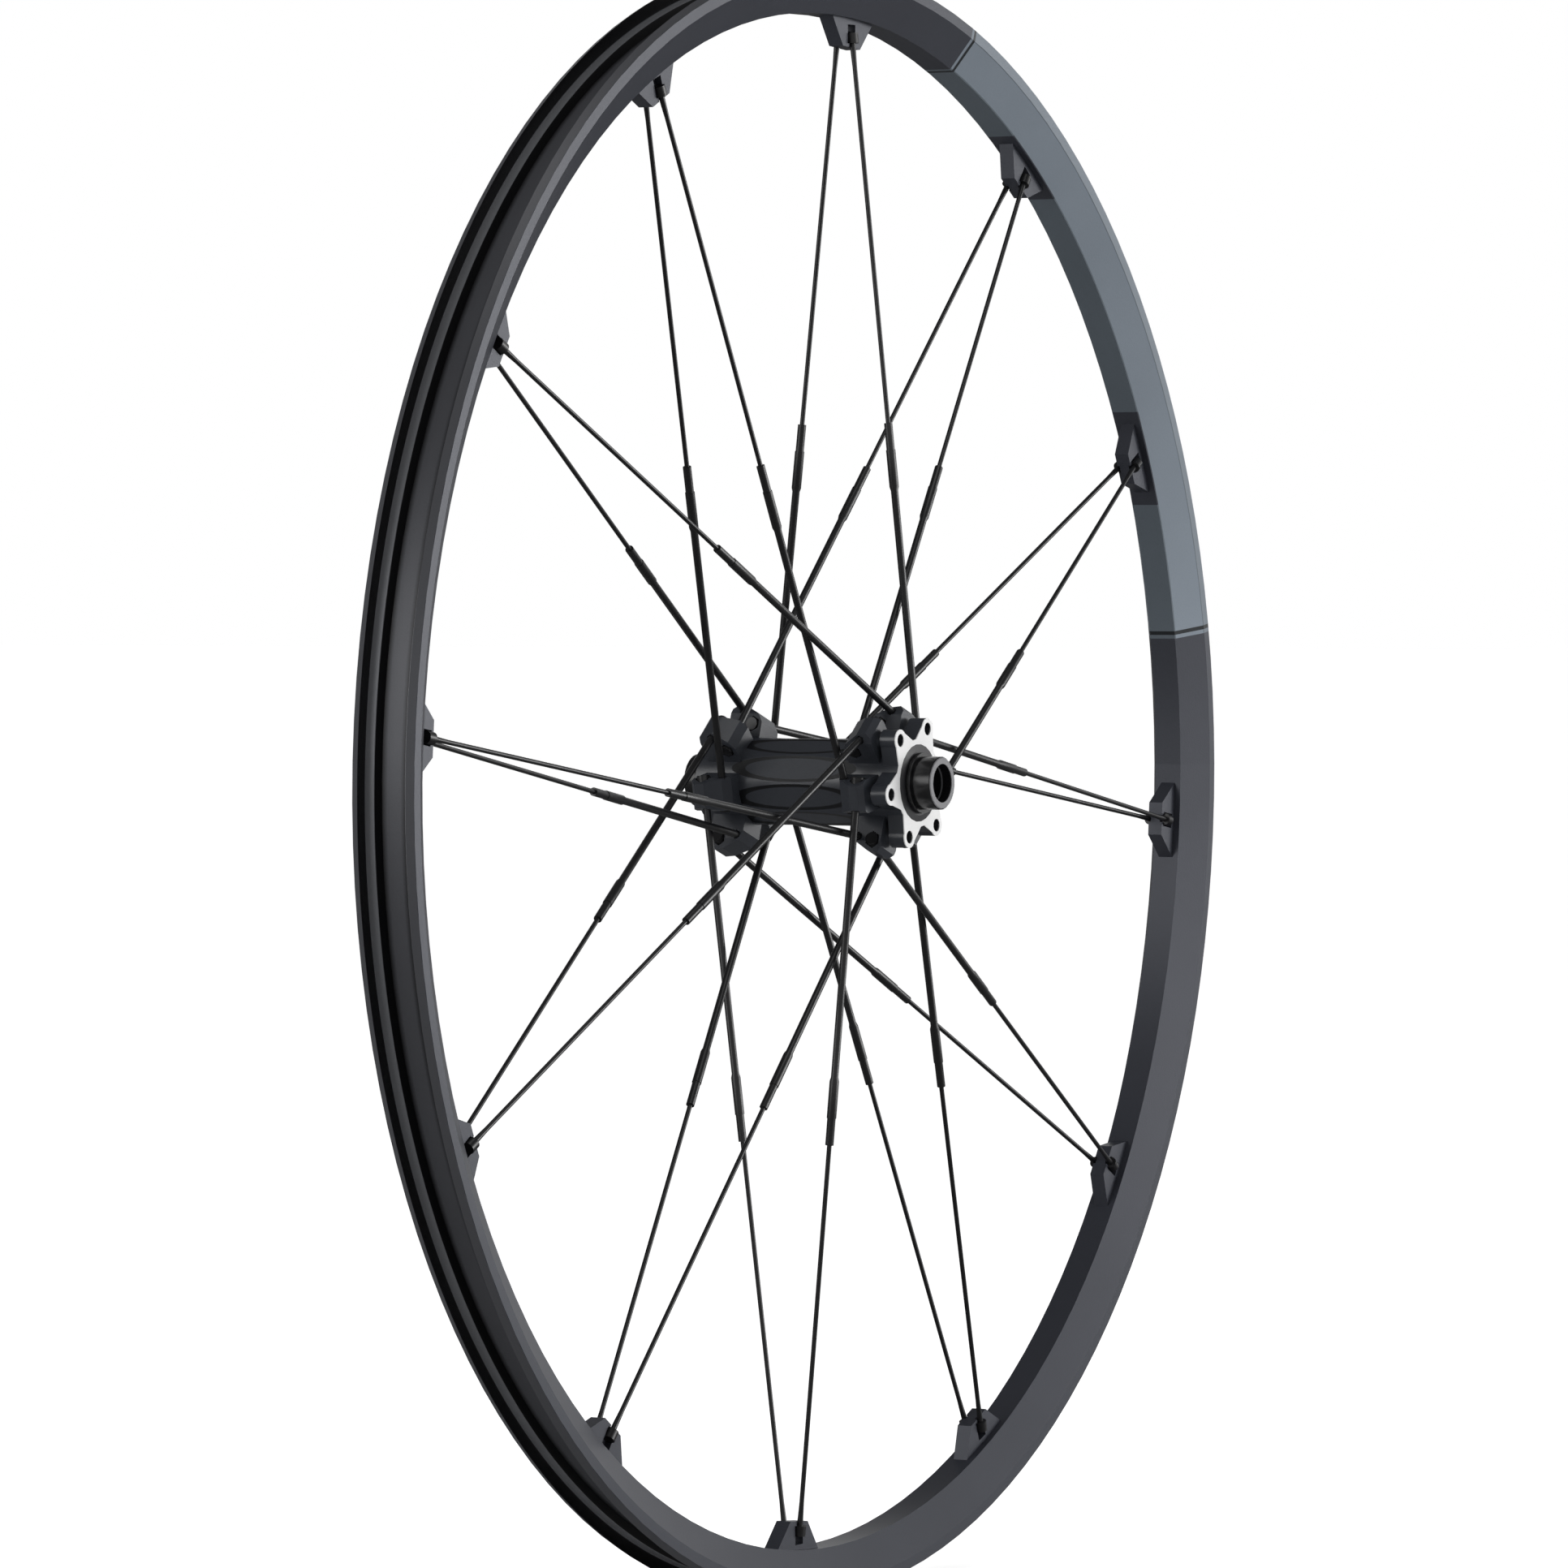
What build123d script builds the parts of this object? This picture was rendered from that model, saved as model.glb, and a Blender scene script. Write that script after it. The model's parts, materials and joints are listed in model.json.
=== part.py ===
"""Front mountain-bike wheel without a tyre: rim, 24 two-piece spokes, hub, bearings, axle and end caps.

Millimetres. The wheel axis is Y, the brake-disc side is -Y, +Z is up and the hub centre is the origin.
"""
import os
from math import acos, atan2, cos, degrees, pi, radians, sin, sqrt

from build123d import *

os.makedirs("parts", exist_ok=True)

# Rim section
BEAD_SEAT_R = 311.0        # 622 mm bead seat diameter
LIP_HEIGHT = 5.5           # tyre lips above the bead seat
RIM_DEPTH = 18.5           # from the top of the lips to the face that looks at the hub
RIM_WIDTH = 26.2
INNER_FACE_WIDTH = 11.6
LIP_HEIGHT_OUTSIDE = 5.6   # upright outer band above the crease of the sidewall
LIP_THICKNESS = 2.9
LIP_FALL = 1.4             # fall of the lip's top to the outside
SHELF_WIDTH = 3.6
CHANNEL_DEPTH = 3.0
CHANNEL_SLOPE = 1.6
RIM_WALL = 1.3
INNER_FACE_WALL = 2.2
VALVE_HOLE_R = 3.25
VALVE_ANGLE = 100.5

# Spoke anchors on the rim
TAB_COUNT = 12
TAB_PHASE = 85.5           # angle of the first anchor, near the top
TAB_HEIGHT = 11.0
TAB_BASE_LENGTH = 34.0
TAB_TOP_LENGTH = 13.5
TAB_THICKNESS = 6.2
TAB_ROOT = 1.2             # how far an anchor reaches into the wall of the rim
SHOULDER = 1.6             # wall between the head of a spoke and the hub edge of the anchor
POCKET_LENGTH = 7.4

# Spokes
SPOKE_SIDES = 6            # facets around a spoke or a tube
SPOKE_R = 1.0
SPOKE_OFFSET = 3.5         # spoke axis from the middle plane of the rim, at the anchor
RIM_HEAD_R = 2.7
RIM_HEAD_LENGTH = 4.0
NECK_R = 1.3
NECK_LENGTH = 9.0
THREAD_LENGTH = 20.0
POCKET_GAP = 0.25          # around the head in its pocket
THROAT_GAP = 0.2           # around the neck in the throat

# Spoke tubes
TUBE_LENGTH = 140.0        # from the mouth of the sleeve to the seat in the hub
TUBE_R = 1.6
SLEEVE_R = 2.05
SLEEVE_LENGTH = 26.5
SLEEVE_TAPER = 1.5
WRENCH_R = 1.8             # flats for a spoke wrench at the mouth of the sleeve
WRENCH_LENGTH = 10.5
BORE_DEPTH = 32.0
THREAD_GAP = 0.15
HUB_HEAD_R = 2.8
HUB_HEAD_LENGTH = 3.0

# Lacing: each hub lug takes an outboard and an inboard tube
OUTBOARD_R = 25.7          # nearest distance of an outboard tube to the wheel axis
INBOARD_R = 22.3
LEFT_LUG_INSET = 8.9       # from the left end of the shell to an outboard tube
RIGHT_LUG_INSET = 12.8     # from the disc face to an outboard tube
LEFT_STAGGER = 6.5         # from an outboard to an inboard tube, along the axle
RIGHT_STAGGER = 5.4

# Hub shell
HUB_WIDTH = 110.0          # over the end caps
DISC_FACE_INSET = 10.5     # from the end cap face to the disc face
LEFT_FACE_INSET = 9.5
SHELL_R = 17.0
SHELL_BORE_R = 13.0
SCALLOP_COUNT = 9
SCALLOP_MARGIN = 0.2       # from the end of a scallop to an inboard tube, along the axle
SCALLOP_DEPTH = 0.9
LUG_COUNT = 6
LUG_PHASE = TAB_PHASE - 75.0
LUG_TOP_LENGTH = 8.5
LUG_SIDE_LENGTH = 13.0
LUG_MARGIN = 4.0           # from a tube axis to the outside of its lug
TUBE_GAP = 0.25            # around a tube in its lug
HEAD_GAP = 0.35            # around a tube head in its counterbore
COUNTERBORE_LENGTH = 9.0

# Disc mount
DISC_PCD = 44.0
DISC_BOLTS = 6
DISC_HOLE_R = 2.5
LOBE_R = 4.2
LOBE_ROOT_WIDTH = 15.0
LOBE_THICKNESS = 7.0

# Bearings, covers, axle and end caps
RING_SIDES = 24            # facets around a bearing seat, ring or cover
CAP_SIDES = 24             # facets around an end cap or the axle
BEARING_OUTER_R = 15.0
BEARING_WIDTH = 7.0
BEARING_FIT = 0.05
OUTER_RING_INNER_R = 11.4
INNER_RING_OUTER_R = 11.0
COVER_WIDTH = 2.0
COVER_GAP = 0.3            # between the turning cover and the inner ring, which stands still
COVER_LIP_R = 12.6         # raised ring on the face of the cover
COVER_LIP_HEIGHT = 0.5
AXLE_BORE_R = 7.5
AXLE_R = 8.5
AXLE_COLLAR_R = 10.0
AXLE_FIT = 0.05
CAP_NOSE_R = 10.3
CAP_COLLAR_R = 11.8
CAP_COLLAR_WIDTH = 1.6
CAP_STEM_R = 10.2
CAP_GAP = 0.4              # between the collar of a cap and the turning cover
CAP_WALL = 6.0             # nose of the cap beyond the end of the axle
CAP_CHAMFER = 0.6

DISC_FACE_Y = HUB_WIDTH / 2 - DISC_FACE_INSET
LEFT_FACE_Y = HUB_WIDTH / 2 - LEFT_FACE_INSET
RIM_OUTER_R = BEAD_SEAT_R + LIP_HEIGHT
RIM_INNER_R = RIM_OUTER_R - RIM_DEPTH
SEAT_R = RIM_INNER_R - TAB_HEIGHT + SHOULDER
COVER_INNER_R = INNER_RING_OUTER_R + COVER_GAP
LEFT_OUTBOARD_Y = LEFT_FACE_Y - LEFT_LUG_INSET
LEFT_INBOARD_Y = LEFT_OUTBOARD_Y - LEFT_STAGGER
RIGHT_OUTBOARD_Y = DISC_FACE_Y - RIGHT_LUG_INSET
RIGHT_INBOARD_Y = RIGHT_OUTBOARD_Y - RIGHT_STAGGER
SCALLOP_LENGTH = LEFT_INBOARD_Y + RIGHT_INBOARD_Y - 2 * SCALLOP_MARGIN


def save(shape, name):
    """Write one piece as a node of its own."""
    export_step(shape, "parts/" + name + ".step")


def turned(points):
    """A piece turned about the wheel axis: points are (radius, distance along the axis)."""
    return revolve(make_face(Polyline(*points, close=True)), Axis.Y)


def faceted(points, sides):
    """A small turned piece about Z with flat sides for a round wall: points are (radius, height)."""
    faces = []
    for (start_r, start_z), (end_r, end_z) in zip(points, points[1:] + points[:1]):
        start = ring_points(start_r, start_z, sides)
        end = ring_points(end_r, end_z, sides)
        if start_r == 0 and end_r == 0:
            continue
        if start_r == 0 or end_r == 0:
            faces.append(Face(Wire.make_polygon(start if end_r == 0 else end)))
            continue
        for here in range(sides):
            there = (here + 1) % sides
            faces.append(Face(Wire.make_polygon([start[here], start[there], end[there], end[here]])))
    return Solid(Shell(faces))


def ring_points(radius, height, sides):
    """Corners of a regular outline about Z."""
    turns = [2 * pi * (corner + 0.5) / sides for corner in range(sides)]
    return [Vector(radius * cos(turn), radius * sin(turn), height) for turn in turns]


def about_wheel(points, sides):
    """A faceted piece about the wheel axis; the flats of a bore keep the stated radius."""
    inner = min(r for r, y in points)
    flats = inner / cos(pi / sides)
    ring = faceted([(flats if r == inner else r, y) for r, y in points], sides)
    return Rot(-90, 0, 0) * ring


def polar(radius, angle, y):
    """A point given by its distance from the wheel axis and its angle around it."""
    return Vector(radius * cos(radians(angle)), y, radius * sin(radians(angle)))


def wheel_plane(angle):
    """Plane in the wheel whose Y direction points outward at the angle; its Z is the wheel axis."""
    return Plane(origin=(0, 0, 0), x_dir=(-sin(radians(angle)), 0, cos(radians(angle))), z_dir=(0, 1, 0))


class Spoke:
    """The axis of one spoke, from its seat in a rim anchor to its seat in a hub lug."""

    def __init__(self, number, side):
        self.angle = TAB_PHASE - (number - 1) * 360 / TAB_COUNT
        self.outboard = number % 2 == 1
        if side == "left":
            self.sign = 1
            self.hub_y = LEFT_OUTBOARD_Y if self.outboard else LEFT_INBOARD_Y
        else:
            self.sign = -1
            self.hub_y = RIGHT_OUTBOARD_Y if self.outboard else RIGHT_INBOARD_Y
        radius = OUTBOARD_R if self.outboard else INBOARD_R
        swing = degrees(acos(radius / SEAT_R))
        hub_angle = self.angle - swing if self.outboard else self.angle + swing
        self.rim_seat = polar(SEAT_R, self.angle, self.sign * SPOKE_OFFSET)
        self.hub_seat = polar(radius, hub_angle, self.sign * self.hub_y)
        along = self.hub_seat - self.rim_seat
        self.length = along.length
        self.plane = Plane(origin=self.rim_seat, x_dir=(0, self.sign, 0), z_dir=along.normalized())
        self.mouth = self.length - TUBE_LENGTH


SPOKES = {
    side: [Spoke(number, side) for number in range(1, TAB_COUNT + 1)]
    for side in ("left", "right")
}


def make_rim():
    """Hollow rim turned about the wheel axis, with its anchors, pockets and valve hole."""
    half = RIM_WIDTH / 2
    crease_r = RIM_OUTER_R - LIP_HEIGHT_OUTSIDE
    lip_y = half - LIP_THICKNESS
    shelf_y = lip_y - SHELF_WIDTH
    floor_y = shelf_y - CHANNEL_SLOPE
    floor_r = BEAD_SEAT_R - CHANNEL_DEPTH
    one_side = [
        (RIM_INNER_R, INNER_FACE_WIDTH / 2),
        (crease_r, half),
        (RIM_OUTER_R - LIP_FALL, half),
        (RIM_OUTER_R, lip_y),
        (BEAD_SEAT_R, lip_y),
        (BEAD_SEAT_R, shelf_y),
        (floor_r, floor_y),
    ]
    other_side = [(r, -y) for r, y in reversed(one_side)]
    rim = turned(one_side + other_side)

    base_r = RIM_INNER_R + TAB_ROOT
    tab_r = RIM_INNER_R - TAB_HEIGHT
    for number in range(TAB_COUNT):
        plane = wheel_plane(TAB_PHASE - number * 360 / TAB_COUNT)
        fin = make_face(Polyline(
            (-TAB_BASE_LENGTH / 2, base_r),
            (-TAB_TOP_LENGTH / 2, tab_r),
            (TAB_TOP_LENGTH / 2, tab_r),
            (TAB_BASE_LENGTH / 2, base_r),
            close=True,
        ))
        rim += extrude(plane * fin, TAB_THICKNESS / 2, both=True)

    slope = (half - INNER_FACE_WIDTH / 2) / (crease_r - RIM_INNER_R)
    wall_y = RIM_WALL * sqrt(1 + slope * slope)
    hollow_low = RIM_INNER_R + INNER_FACE_WALL
    hollow_high = floor_r - RIM_WALL
    low_y = INNER_FACE_WIDTH / 2 + slope * (hollow_low - RIM_INNER_R) - wall_y
    high_y = INNER_FACE_WIDTH / 2 + slope * (hollow_high - RIM_INNER_R) - wall_y
    rim -= turned([(hollow_low, -low_y), (hollow_low, low_y), (hollow_high, high_y), (hollow_high, -high_y)])

    pocket_half = RIM_HEAD_R + POCKET_GAP
    throat_half = NECK_R + THROAT_GAP
    reach = TAB_THICKNESS
    for spoke in SPOKES["left"] + SPOKES["right"]:
        pocket = Pos((reach - pocket_half) / 2, 0, -POCKET_LENGTH / 2) * Box(
            reach + pocket_half, 2 * pocket_half, POCKET_LENGTH)
        throat = Pos((reach - throat_half) / 2, 0, SHOULDER) * Box(
            reach + throat_half, 2 * throat_half, 2 * SHOULDER)
        rim -= spoke.plane * (pocket + throat)

    middle = (RIM_OUTER_R + RIM_INNER_R) / 2
    hole = Cylinder(VALVE_HOLE_R, 2 * (RIM_OUTER_R - RIM_INNER_R))
    rim -= Plane(origin=polar(middle, VALVE_ANGLE, 0), z_dir=polar(1, VALVE_ANGLE, 0)) * hole
    return rim


def make_spoke(spoke):
    """Thin spoke with a head that hooks into the rim and a threaded end inside the tube."""
    end = spoke.mouth + THREAD_LENGTH
    body = faceted([
        (0, -RIM_HEAD_LENGTH),
        (RIM_HEAD_R, -RIM_HEAD_LENGTH),
        (RIM_HEAD_R, 0),
        (NECK_R, 0),
        (SPOKE_R, NECK_LENGTH),
        (SPOKE_R, end),
        (0, end),
    ], SPOKE_SIDES)
    return spoke.plane * body


def make_tube(spoke):
    """Threaded tube that draws the spoke to the hub: sleeve with wrench flats, shank and head."""
    mouth = spoke.mouth
    bore_r = SPOKE_R + THREAD_GAP
    seat = spoke.length
    end = seat + HUB_HEAD_LENGTH
    body = faceted([
        (bore_r, mouth),
        (WRENCH_R, mouth),
        (WRENCH_R, mouth + WRENCH_LENGTH),
        (SLEEVE_R, mouth + WRENCH_LENGTH),
        (SLEEVE_R, mouth + SLEEVE_LENGTH - SLEEVE_TAPER),
        (TUBE_R, mouth + SLEEVE_LENGTH),
        (TUBE_R, seat),
        (HUB_HEAD_R, seat),
        (HUB_HEAD_R, end),
        (0, end),
        (0, mouth + BORE_DEPTH),
        (bore_r, mouth + BORE_DEPTH),
    ], SPOKE_SIDES)
    return spoke.plane * body


def make_lug(angle, sign, inboard_y, outboard_y):
    """One lug: a block around its two tubes that leans with them and narrows to the top."""
    base_r = SHELL_BORE_R + 1
    top_r = OUTBOARD_R + LUG_MARGIN
    lean = atan2(OUTBOARD_R - INBOARD_R, outboard_y - inboard_y)
    back = LUG_MARGIN * sin(lean)
    rise = LUG_MARGIN * cos(lean)
    section = make_face(Polyline(
        (inboard_y - LUG_MARGIN, base_r),
        (inboard_y - LUG_MARGIN, INBOARD_R),
        (inboard_y - back, INBOARD_R + rise),
        (outboard_y - back, OUTBOARD_R + rise),
        (outboard_y + LUG_MARGIN / 2, top_r),
        (outboard_y + LUG_MARGIN, OUTBOARD_R + LUG_MARGIN / 2),
        (outboard_y + LUG_MARGIN, base_r),
        close=True,
    ))
    outline = make_face(Polyline(
        (-LUG_SIDE_LENGTH / 2, base_r),
        (-LUG_SIDE_LENGTH / 2, OUTBOARD_R),
        (-LUG_TOP_LENGTH / 2, top_r + 1),
        (LUG_TOP_LENGTH / 2, top_r + 1),
        (LUG_SIDE_LENGTH / 2, OUTBOARD_R),
        (LUG_SIDE_LENGTH / 2, base_r),
        close=True,
    ))
    turn = radians(angle)
    across = Plane(origin=(0, 0, 0), x_dir=(0, sign, 0), z_dir=(sign * sin(turn), 0, -sign * cos(turn)))
    block = extrude(across * section, LUG_SIDE_LENGTH, both=True)
    return block & extrude(wheel_plane(angle) * outline, HUB_WIDTH, both=True)


def make_disc_lobe():
    """Outline of one lobe of the disc mount, wide at the shell and round about its bolt hole."""
    bolt_r = DISC_PCD / 2
    flank = make_face(Polyline(
        (-LOBE_ROOT_WIDTH / 2, SHELL_BORE_R),
        (-LOBE_ROOT_WIDTH / 2, BEARING_OUTER_R),
        (-LOBE_R, bolt_r),
        (LOBE_R, bolt_r),
        (LOBE_ROOT_WIDTH / 2, BEARING_OUTER_R),
        (LOBE_ROOT_WIDTH / 2, SHELL_BORE_R),
        close=True,
    ))
    return flank + Pos(0, bolt_r) * Circle(LOBE_R) - Pos(0, bolt_r) * Circle(DISC_HOLE_R)


def make_hub_shell():
    """Hub shell with scalloped barrel, twelve lugs, disc mount and bearing seats."""
    left_in = LEFT_INBOARD_Y - LUG_MARGIN
    right_in = RIGHT_INBOARD_Y - LUG_MARGIN
    shell = turned([
        (SHELL_BORE_R, -DISC_FACE_Y),
        (SHELL_R, -DISC_FACE_Y),
        (SHELL_R, LEFT_FACE_Y),
        (SHELL_BORE_R, LEFT_FACE_Y),
    ])

    curve_r = (SCALLOP_LENGTH ** 2 / 4 + SCALLOP_DEPTH ** 2) / (2 * SCALLOP_DEPTH)
    barrel_y = (left_in - right_in) / 2
    for number in range(SCALLOP_COUNT):
        angle = LUG_PHASE + 180 / LUG_COUNT + number * 360 / SCALLOP_COUNT
        centre = polar(SHELL_R - SCALLOP_DEPTH + curve_r, angle, barrel_y)
        across = (-sin(radians(angle)), 0, cos(radians(angle)))
        shell -= Plane(origin=centre, z_dir=across) * Cylinder(curve_r, 2 * SHELL_R)
    for number in range(LUG_COUNT):
        angle = LUG_PHASE + number * 360 / LUG_COUNT
        shell += make_lug(angle, 1, LEFT_INBOARD_Y, LEFT_OUTBOARD_Y)
        shell += make_lug(angle, -1, RIGHT_INBOARD_Y, RIGHT_OUTBOARD_Y)

    lobe = Pos(0, 0, -DISC_FACE_Y) * extrude(make_disc_lobe(), LOBE_THICKNESS)
    for number in range(DISC_BOLTS):
        shell += wheel_plane(LUG_PHASE + number * 360 / DISC_BOLTS) * lobe

    seat_depth = COVER_WIDTH + BEARING_WIDTH
    seat_r = BEARING_OUTER_R + BEARING_FIT
    shell -= about_wheel([
        (0, -DISC_FACE_Y),
        (seat_r, -DISC_FACE_Y),
        (seat_r, seat_depth - DISC_FACE_Y),
        (SHELL_BORE_R, seat_depth - DISC_FACE_Y),
        (SHELL_BORE_R, LEFT_FACE_Y - seat_depth),
        (seat_r, LEFT_FACE_Y - seat_depth),
        (seat_r, LEFT_FACE_Y),
        (0, LEFT_FACE_Y),
    ], RING_SIDES)

    hole_r = TUBE_R + TUBE_GAP
    head_r = HUB_HEAD_R + HEAD_GAP
    for spoke in SPOKES["left"] + SPOKES["right"]:
        seat = spoke.length
        drill = faceted([
            (0, seat - 2 * LUG_SIDE_LENGTH),
            (hole_r, seat - 2 * LUG_SIDE_LENGTH),
            (hole_r, seat),
            (head_r, seat),
            (head_r, seat + COUNTERBORE_LENGTH),
            (0, seat + COUNTERBORE_LENGTH),
        ], SPOKE_SIDES)
        shell -= spoke.plane * drill
    return shell


def make_bearing(face_y, sign, name):
    """Sealed cartridge bearing: outer ring in the shell, inner ring on the axle."""
    outer_y = sign * (face_y - COVER_WIDTH)
    inner_y = sign * (face_y - COVER_WIDTH - BEARING_WIDTH)
    save(about_wheel([(OUTER_RING_INNER_R, inner_y), (BEARING_OUTER_R, inner_y), (BEARING_OUTER_R, outer_y),
                      (OUTER_RING_INNER_R, outer_y)], RING_SIDES), name + "_bearing_outer_ring")
    ring_r = AXLE_R + AXLE_FIT
    save(about_wheel([(ring_r, inner_y), (INNER_RING_OUTER_R, inner_y), (INNER_RING_OUTER_R, outer_y),
                      (ring_r, outer_y)], RING_SIDES), name + "_bearing_inner_ring")


def make_cover(face_y, sign):
    """Dust cover that holds a bearing in the shell and turns with it."""
    seat_y = sign * (face_y - COVER_WIDTH)
    rim_y = sign * face_y
    lip_y = sign * (face_y + COVER_LIP_HEIGHT)
    return about_wheel([
        (COVER_INNER_R, seat_y),
        (BEARING_OUTER_R, seat_y),
        (BEARING_OUTER_R, rim_y),
        (COVER_LIP_R, lip_y),
        (COVER_INNER_R, lip_y),
    ], RING_SIDES)


def axle_bore():
    """The round bore that the through axle slides in."""
    return Rot(90, 0, 0) * Cylinder(AXLE_BORE_R, 2 * HUB_WIDTH)


def make_end_cap(face_y, sign):
    """End cap: nose that the fork clamps, collar and a stem that bears on the inner ring."""
    end_y = HUB_WIDTH / 2
    collar_in = face_y + COVER_LIP_HEIGHT + CAP_GAP
    collar_out = collar_in + CAP_COLLAR_WIDTH
    stem_in = face_y - COVER_WIDTH
    axle_end = end_y - CAP_WALL
    points = [
        (0, end_y),
        (CAP_NOSE_R - CAP_CHAMFER, end_y),
        (CAP_NOSE_R, end_y - CAP_CHAMFER),
        (CAP_NOSE_R, collar_out),
        (CAP_COLLAR_R, collar_out),
        (CAP_COLLAR_R, collar_in),
        (CAP_STEM_R, collar_in),
        (CAP_STEM_R, stem_in),
        (AXLE_R + AXLE_FIT, stem_in),
        (AXLE_R + AXLE_FIT, axle_end),
        (0, axle_end),
    ]
    return about_wheel([(r, sign * y) for r, y in points], CAP_SIDES) - axle_bore()


def make_axle():
    """Hollow axle with a collar that spaces the two bearings."""
    end_y = HUB_WIDTH / 2 - CAP_WALL
    left_stop = LEFT_FACE_Y - COVER_WIDTH - BEARING_WIDTH
    right_stop = COVER_WIDTH + BEARING_WIDTH - DISC_FACE_Y
    return about_wheel([
        (0, -end_y),
        (AXLE_R, -end_y),
        (AXLE_R, right_stop),
        (AXLE_COLLAR_R, right_stop),
        (AXLE_COLLAR_R, left_stop),
        (AXLE_R, left_stop),
        (AXLE_R, end_y),
        (0, end_y),
    ], CAP_SIDES) - axle_bore()


save(make_rim(), "rim")
for side, spokes in SPOKES.items():
    for number, spoke in enumerate(spokes, start=1):
        save(make_spoke(spoke), f"spoke_{side}_{number:02d}")
        save(make_tube(spoke), f"spoke_tube_{side}_{number:02d}")
save(make_hub_shell(), "hub_shell")
for side, face_y, sign in (("left", LEFT_FACE_Y, 1), ("right", DISC_FACE_Y, -1)):
    make_bearing(face_y, sign, side)
    save(make_cover(face_y, sign), side + "_dust_cover")
    save(make_end_cap(face_y, sign), side + "_end_cap")
save(make_axle(), "axle")
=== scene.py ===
# %% [markdown]
# # A bicycle front wheel
# The solids of the wheel are already made and stand in the frame, in metres. This lesson gives them
# their finishes, turns the spokes round, cuts the threads of the disc mount, and sets up the light
# and the camera. The wheel axis is Y, the brake-disc side is -Y and +Z is up.

# %% Load the frame
import json
from math import cos, pi, radians, sin, sqrt

import bpy
from mathutils import Matrix, Vector


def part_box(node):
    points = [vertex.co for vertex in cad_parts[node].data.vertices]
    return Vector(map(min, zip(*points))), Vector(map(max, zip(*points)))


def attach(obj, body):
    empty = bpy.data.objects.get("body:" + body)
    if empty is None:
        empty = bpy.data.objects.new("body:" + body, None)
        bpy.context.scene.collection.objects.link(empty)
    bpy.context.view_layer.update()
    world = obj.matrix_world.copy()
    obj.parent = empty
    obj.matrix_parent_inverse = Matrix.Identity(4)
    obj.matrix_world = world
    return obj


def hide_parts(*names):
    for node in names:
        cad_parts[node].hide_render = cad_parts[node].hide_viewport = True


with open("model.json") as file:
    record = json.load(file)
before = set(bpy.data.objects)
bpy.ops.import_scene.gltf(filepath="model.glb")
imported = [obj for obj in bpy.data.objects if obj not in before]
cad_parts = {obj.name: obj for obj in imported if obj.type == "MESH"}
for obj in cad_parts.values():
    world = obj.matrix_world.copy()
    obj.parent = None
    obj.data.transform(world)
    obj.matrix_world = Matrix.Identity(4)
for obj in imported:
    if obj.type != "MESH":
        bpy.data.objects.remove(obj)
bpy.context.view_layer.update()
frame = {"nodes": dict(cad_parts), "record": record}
nodes = frame["nodes"]


# %% [markdown]
# A finish has to know where a surface lies. A size that is typed in twice drifts apart, so most sizes
# are read from the solids and from the record: the radius of the rim, the disc face, the ends of the
# hub, its bolts and its bore. Only what neither of them states is written here: the depths of the
# rim section and the angles, in degrees, of the anchors and of the lobes of the disc mount.

# %% Sizes
rim_low, rim_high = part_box("rim")
RIM_R = rim_high[0]
RIM_SIDE_Y = rim_high[1]
DISC_FACE_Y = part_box("hub_shell")[0][1]
CAP_FACE_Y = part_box("right_end_cap")[0][1]
mounts = {mount["name"]: mount["dims"] for mount in frame["record"]["mounts"]}
BOLT_CIRCLE_R = mounts["disc_bolts"]["pcd_mm"] / 2000
BOLT_HOLE_R = mounts["disc_bolts"]["hole_r_mm"] / 1000
AXLE_BORE_R = mounts["axle_bore"]["r_mm"] / 1000

RIM_DEPTH = 0.0185
FLOOR_DEPTH = 0.0085
LIP_HEIGHT = 0.0055
LIP_THICKNESS = 0.0029
LIP_FALL = 0.0014
SHELF_WIDTH = 0.0052
ANCHOR_PHASE = 85.5
ANCHOR_STEP = 30.0
LOBE_PHASE = 10.5

INNER_FACE_R = RIM_R - RIM_DEPTH
FLOOR_R = RIM_R - FLOOR_DEPTH
SHELF_R = RIM_R - LIP_HEIGHT
LIP_INSIDE_Y = RIM_SIDE_Y - LIP_THICKNESS
FLOOR_HALF = LIP_INSIDE_Y - SHELF_WIDTH
print("rim radius", round(RIM_R, 4), "disc face", round(DISC_FACE_Y, 4),
      "cap face", round(CAP_FACE_Y, 4))

# %% [markdown]
# A node tree is easier to read when each step is one line. These helpers add a node, set its values
# and link its inputs. A mask is a number that is 1 where something holds and 0 elsewhere, so two
# masks are joined by multiplying them. The helpers serve materials and Geometry Nodes alike.

# %% Helpers for node trees
def add(tree, kind, inputs=None, **settings):
    node = tree.nodes.new(kind)
    for name, value in settings.items():
        setattr(node, name, value)
    for socket, value in (inputs or {}).items():
        if isinstance(value, bpy.types.NodeSocket):
            tree.links.new(value, node.inputs[socket])
        else:
            node.inputs[socket].default_value = value
    return node


def calc(tree, operation, first, second=0.0):
    return add(tree, "ShaderNodeMath", {0: first, 1: second}, operation=operation).outputs[0]


def vector_calc(tree, operation, first, second=(0, 0, 0)):
    return add(tree, "ShaderNodeVectorMath", {0: first, 1: second}, operation=operation).outputs


def blend(tree, factor, first, second):
    inputs = {0: factor, 6: first, 7: second}
    return add(tree, "ShaderNodeMix", inputs, data_type="RGBA").outputs[2]


def below(tree, value, limit):
    return calc(tree, "LESS_THAN", value, limit)


def above(tree, value, limit):
    return calc(tree, "GREATER_THAN", value, limit)


def both(tree, first, second):
    return calc(tree, "MULTIPLY", first, second)


def either(tree, first, second):
    return calc(tree, "MAXIMUM", first, second)


def without(tree, mask, removed):
    return both(tree, mask, calc(tree, "SUBTRACT", 1.0, removed))


def between(tree, value, low, high):
    return both(tree, above(tree, value, low), below(tree, value, high))


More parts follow.
